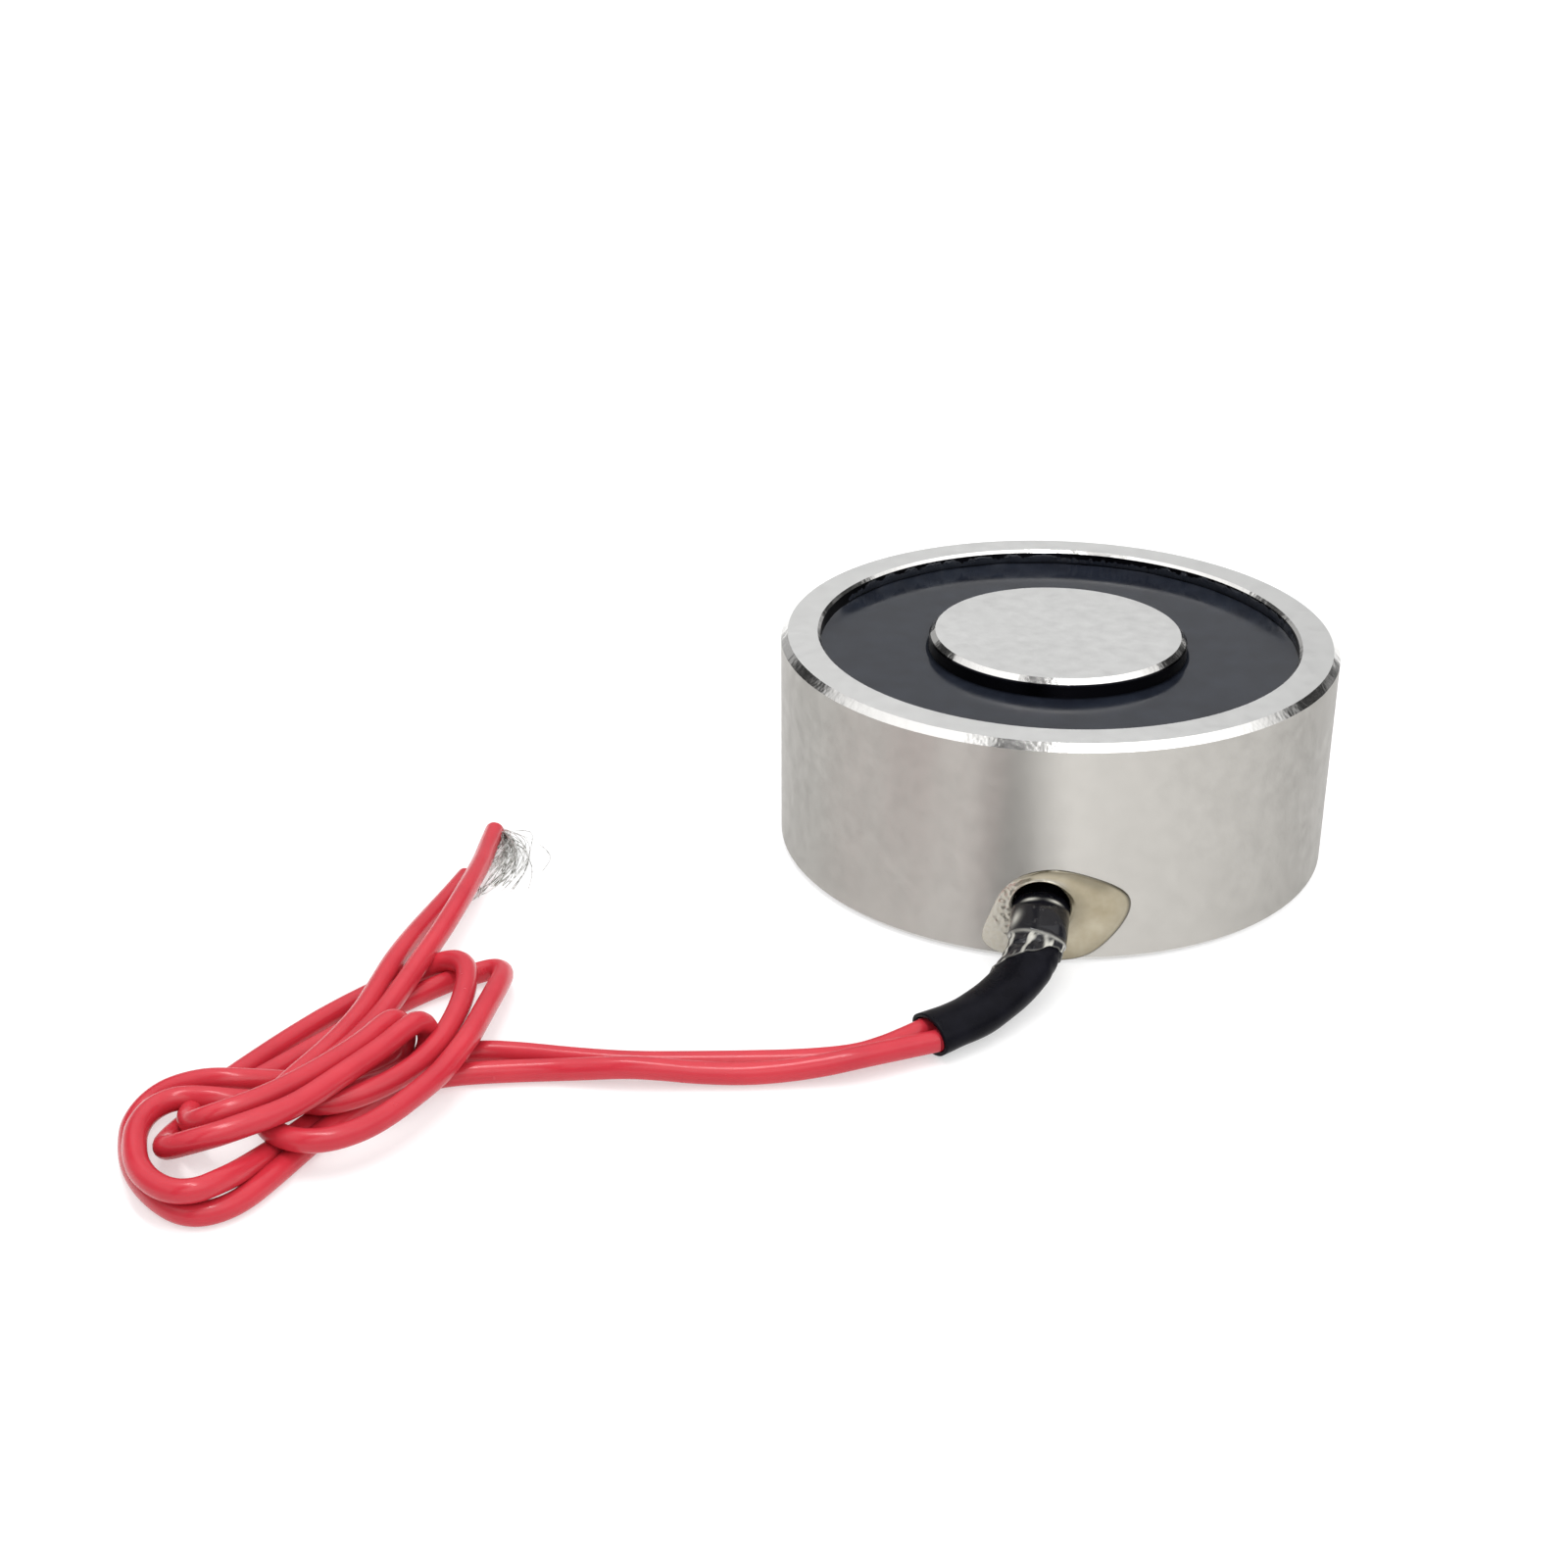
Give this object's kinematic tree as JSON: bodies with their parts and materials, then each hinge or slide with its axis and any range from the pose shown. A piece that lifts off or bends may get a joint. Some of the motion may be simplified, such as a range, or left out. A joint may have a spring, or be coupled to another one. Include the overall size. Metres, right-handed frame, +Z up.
{
  "type": "holding electromagnet",
  "caption": "Round pot-type holding electromagnet with a resin-potted coil, a flat steel holding face, a tapped base and insulated leads gathered into a loose hank.",
  "frame": {"origin": "centre of the base face, where the axis of the body meets the surface it stands on", "axes": "+Z up along the body's axis to the holding face; the leads leave through the wall along -Y and lie on the same level as the base"},
  "size_m": [0.0919, 0.0956, 0.02],
  "materials": {
    "plated_steel": "satin",
    "bobbin_plastic": "matte",
    "copper": "satin",
    "tape": "satin",
    "potting_resin": "gloss",
    "sleeve_black": "gloss",
    "joint_sleeving": "matte",
    "glue_amber": "gloss",
    "solder": "satin",
    "lead_red": "gloss",
    "tinned_strand": "polished"
  },
  "bodies": {
    "root": {"pot_body": "plated_steel", "bobbin": "bobbin_plastic", "coil_winding": "copper", "coil_tape": "tape", "winding_start_wire": "copper", "winding_finish_wire": "copper", "solder_joint_1": "solder", "solder_joint_2": "solder", "joint_sleeve_1": "joint_sleeving", "joint_sleeve_2": "joint_sleeving", "potting_resin": "potting_resin", "lead_sleeve": "sleeve_black", "sleeve_collar": "sleeve_black", "exit_glue": "glue_amber", "lead_1_inner": "lead_red", "lead_2_inner": "lead_red", "lead_1_run": "lead_red", "lead_2_run": "lead_red", "lead_hank": "lead_red", "lead_1_tail": "lead_red", "lead_2_tail": "lead_red", "lead_1_strands": "tinned_strand", "lead_2_strands": "tinned_strand"}
  },
  "joints": []
}
